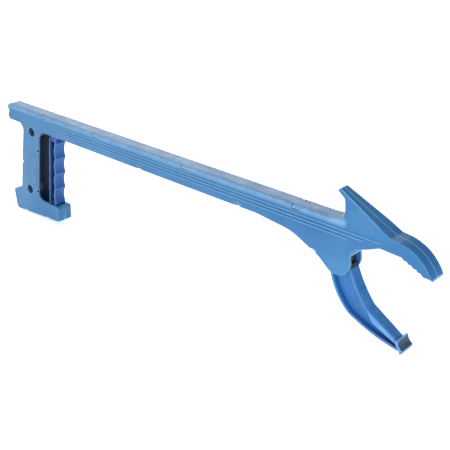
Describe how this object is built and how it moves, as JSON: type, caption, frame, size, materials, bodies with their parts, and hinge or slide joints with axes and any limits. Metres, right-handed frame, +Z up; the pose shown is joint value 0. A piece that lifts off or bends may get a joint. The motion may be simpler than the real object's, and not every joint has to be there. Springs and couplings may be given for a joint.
{
  "type": "hand reacher",
  "caption": "Moulded plastic hand reacher: squeezing the scalloped trigger in the grip closes the lower jaw against the fixed, hooked upper jaw at the beam's far end.",
  "frame": {"origin": "centre of the upper hole through the grip, on the joint face between the shells", "axes": "+X along the beam towards the jaws, +Y to the user's left along the hole, +Z up from the foot to the beam"},
  "size_m": [0.6731, 0.0236, 0.1907],
  "materials": {
    "shell_plastic": "injection moulded, satin, mid blue",
    "trigger_plastic": "injection moulded, satin, mid blue",
    "jaw_plastic": "injection moulded, satin, mid blue",
    "pin_steel": "drawn bright steel",
    "rod_steel": "zinc plated steel",
    "spring_steel": "oiled spring wire",
    "collar_plastic": "natural white acetal",
    "magnet": "dark ferrite, matt"
  },
  "bodies": {
    "frame": {"right_shell": "shell_plastic", "left_shell": "shell_plastic", "trigger_pivot_pin": "pin_steel", "jaw_pivot_pin": "pin_steel", "return_spring": "spring_steel"},
    "trigger_lever": {"trigger": "trigger_plastic", "trigger_rod_pin": "pin_steel"},
    "rod": {"pull_rod": "rod_steel", "spring_collar": "collar_plastic"},
    "jaw": {"lower_jaw": "jaw_plastic", "jaw_rod_pin": "pin_steel", "jaw_magnet": "magnet"}
  },
  "joints": [
    {"name": "trigger_squeeze", "type": "hinge", "parent": "frame", "child": "trigger_lever", "pos_m": [0.0267, 0, -0.112], "axis": [0, -1, 0], "range_deg": [0, 11.18], "stiffness_Nm_per_rad": 5, "springref_deg": -5.73},
    {"name": "rod_pull", "type": "slide", "parent": "frame", "child": "rod", "axis": [-1, 0, 0], "range_m": [0, 0.0253], "deforming": ["return_spring"]},
    {"name": "jaw_close", "type": "hinge", "parent": "frame", "child": "jaw", "pos_m": [0.5087, 0, -0.0131], "axis": [0, -1, 0], "range_deg": [0, 47.5]}
  ],
  "couplings": [
    {"joint": "rod_pull", "follows": "trigger_squeeze", "m_per_rad": 0.1296},
    {"joint": "jaw_close", "follows": "trigger_squeeze", "ratio": 4.248}
  ]
}
